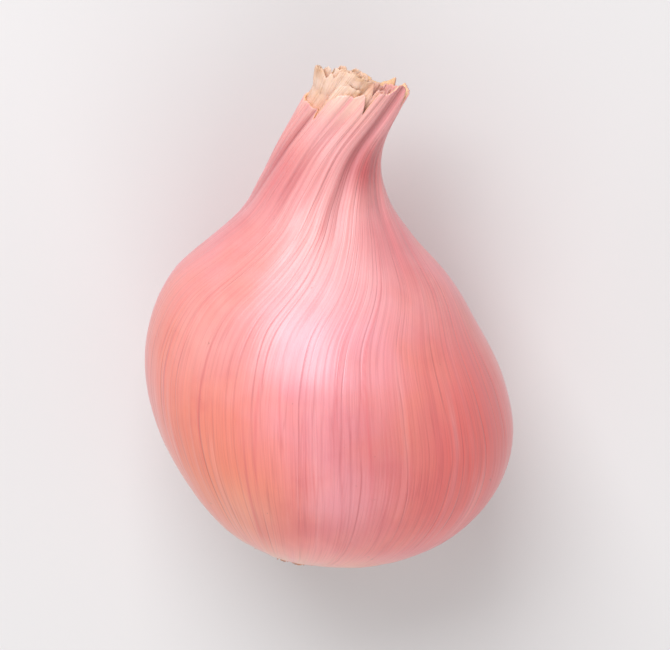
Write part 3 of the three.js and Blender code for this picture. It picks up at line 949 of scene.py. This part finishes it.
def root_material():
    """Dry roots: pale to grey-brown, darkest at their cut ends."""
    look = Look("dry_root", Roughness=0.8)
    tone = look.attribute("tone")
    end = look.attribute("end")
    here = look.place()
    flecks = look.noise(here, 1100.0, 4.0, 0.6)
    color = look.mix(look.ranged(tone, 0.1, 0.9), ASH, PAPER)
    color = look.mix(look.ranged(flecks, 0.45, 0.7, 0.0, 0.7), color, CORK)
    color = look.mix(look.ranged(end, 0.75, 1.0, 0.0, 0.5), color, EARTH)
    look.set("Base Color", color)
    look.set("Roughness", look.ranged(flecks, 0.3, 0.7, 0.65, 0.9))
    look.set("Normal", look.bump(flecks, ROOT_BUMP, 0.7))
    return look.material


def grey(value):
    return (value, value, value, 1.0)


def floor_material():
    """Matt pale grey, darker round the shallot than far from it, where the paler grey is painted light
    that makes up for the lamps' falloff.
    """
    look = Look("pale_floor", Roughness=0.7)
    here = look.place()
    mottle = look.noise(here, 9.0, 2.0)
    color = look.mix(look.ranged(mottle, 0.3, 0.7), grey(0.7), grey(0.72))
    near = look.near(here, (0.0, 0.0, 0.0), FLOOR_DARKER, 0.0)
    look.set("Base Color", look.mix(near, grey(0.92), color))
    return look.material


# The floor, in metres: flat round the shallot, then curving up into a rim, so that no horizon
# shows, and darker to about FLOOR_DARKER from the middle; paler farther out, as painted light
# where the lamps light it less.
FLOOR_FLAT, FLOOR_EDGE, FLOOR_RISE = 0.6, 2.2, 0.8
FLOOR_DARKER = 0.6
FLOOR_RINGS, FLOOR_AROUND = 48, 96


def floor_mesh():
    """Rings of quads round a small middle face."""
    ring = np.linspace(0.01, FLOOR_EDGE, FLOOR_RINGS)[:, None]
    angle = np.arange(FLOOR_AROUND) / FLOOR_AROUND * TURN
    height = FLOOR_RISE * np.clip((ring - FLOOR_FLAT) / (FLOOR_EDGE - FLOOR_FLAT), 0, 1) ** 2
    points = np.stack(np.broadcast_arrays(ring * np.cos(angle), ring * np.sin(angle), height), -1)
    faces = grid_faces(FLOOR_RINGS, FLOOR_AROUND, True) + [tuple(range(FLOOR_AROUND))]
    mesh = bpy.data.meshes.new("floor")
    mesh.from_pydata(points.reshape(-1, 3).tolist(), [], faces)
    mesh.shade_smooth()
    return mesh


def frame_shift():
    """How far the frame's origin is from the shallot's own, in mm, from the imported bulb's box."""
    low, high = (np.array(corner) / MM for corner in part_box("bulb"))
    along, angle = np.meshgrid(np.linspace(ROOT_END, NECK_START, 240), np.linspace(0, TURN, 181))
    points = skin_point(along, angle).reshape(-1, 3)
    middle = (points.min(0) + points.max(0)) / 2
    return np.array([(low[0] + high[0]) / 2 - middle[0], low[1] - points[:, 1].min(), 0])


# Camera: how far it tips from straight above towards the neck, how far the neck leans to the
# right in the picture, its distance and its lens.
VIEW_TIPPED = math.radians(12)
VIEW_LEAN = math.radians(9.5)
VIEW_DISTANCE = 0.425
VIEW_LENS = 215
VIEW_TARGET = Vector((-0.0006, -0.0012, 0.018))


def view_axes():
    """The camera's right, up and backward directions."""
    back = Vector((0, math.sin(VIEW_TIPPED), math.cos(VIEW_TIPPED)))
    away = Vector((0, math.cos(VIEW_TIPPED), -math.sin(VIEW_TIPPED)))
    right = Vector((1, 0, 0))
    turned = right * math.cos(VIEW_LEAN) + away * math.sin(VIEW_LEAN)
    return turned, back.cross(turned), back


def aim(thing, location, target):
    """Puts a thing at a place and turns its -Z towards the target."""
    thing.location = location
    thing.rotation_mode = "QUATERNION"
    thing.rotation_quaternion = (Vector(target) - Vector(location)).to_track_quat("-Z", "Y")


def add_camera():
    right, up, back = view_axes()
    data = bpy.data.cameras.new("camera")
    data.lens = VIEW_LENS
    data.clip_start, data.clip_end = 0.01, 10
    camera = bpy.data.objects.new("camera", data)
    bpy.context.collection.objects.link(camera)
    turn = Matrix((right, up, back)).transposed().to_4x4()
    camera.matrix_world = Matrix.Translation(VIEW_TARGET + back * VIEW_DISTANCE) @ turn
    bpy.context.scene.camera = camera


def add_light(name, toward, distance, size, power, color):
    """A square soft light, placed by its direction in the picture: right, up and backward."""
    right, up, back = view_axes()
    direction = (right * toward[0] + up * toward[1] + back * toward[2]).normalized()
    data = bpy.data.lights.new(name, "AREA")
    data.size, data.energy, data.color = size, power, color
    light = bpy.data.objects.new(name, data)
    bpy.context.collection.objects.link(light)
    aim(light, VIEW_TARGET + direction * distance, VIEW_TARGET)


# Lights: name, direction in the picture, distance and size in metres, power and colour.
LIGHTS = [
    ("key_light", (-0.26, 0.62, 1.0), 0.6, 0.4, 3.0, (1.0, 0.985, 1.0)),
    ("fill_light", (0.0, -1.0, 0.5), 0.7, 0.5, 1.5, (1.0, 0.96, 0.98)),
]
WORLD_COLOR = (1.0, 0.99, 0.985, 1)
WORLD_STRENGTH = 0.53


def add_studio():
    """Soft lights, an even pale surround and the floor."""
    for light in LIGHTS:
        add_light(*light)
    world = bpy.data.worlds.new("studio")
    world.use_nodes = True
    background = world.node_tree.nodes["Background"]
    background.inputs["Color"].default_value = WORLD_COLOR
    background.inputs["Strength"].default_value = WORLD_STRENGTH
    bpy.context.scene.world = world
    floor = bpy.data.objects.new("floor", floor_mesh())
    bpy.context.collection.objects.link(floor)
    floor.data.materials.append(floor_material())
    settings = bpy.context.scene.view_settings
    settings.view_transform, settings.look = "Standard", "None"
    settings.exposure = 0.0


def add_shallot():
    """Builds each piece, says what it rides on and hides the part that it replaces."""
    shift = frame_shift()
    dry_leaf, loose, skin = dry_leaf_material(), loose_skin_material(), skin_material()
    made = [
        ("skin", skin_body(), skin, "skin", "bulb"),
        ("root_frill", frills_body(), loose, "skin", None),
        ("leaf_ends", leaves_body(), dry_leaf, "dry_leaf", "neck_leaves"),
        ("root_plate", plate_body(), cork_material(), "root", "root_tuft"),
        ("roots", roots_body(), root_material(), "root", "root_tuft"),
    ]
    for name, gathered, material, slot, node in made:
        piece = gathered.build(name, material, shift)
        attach(piece, "root")
        if node:
            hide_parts(node)


add_camera()
add_studio()
add_shallot()
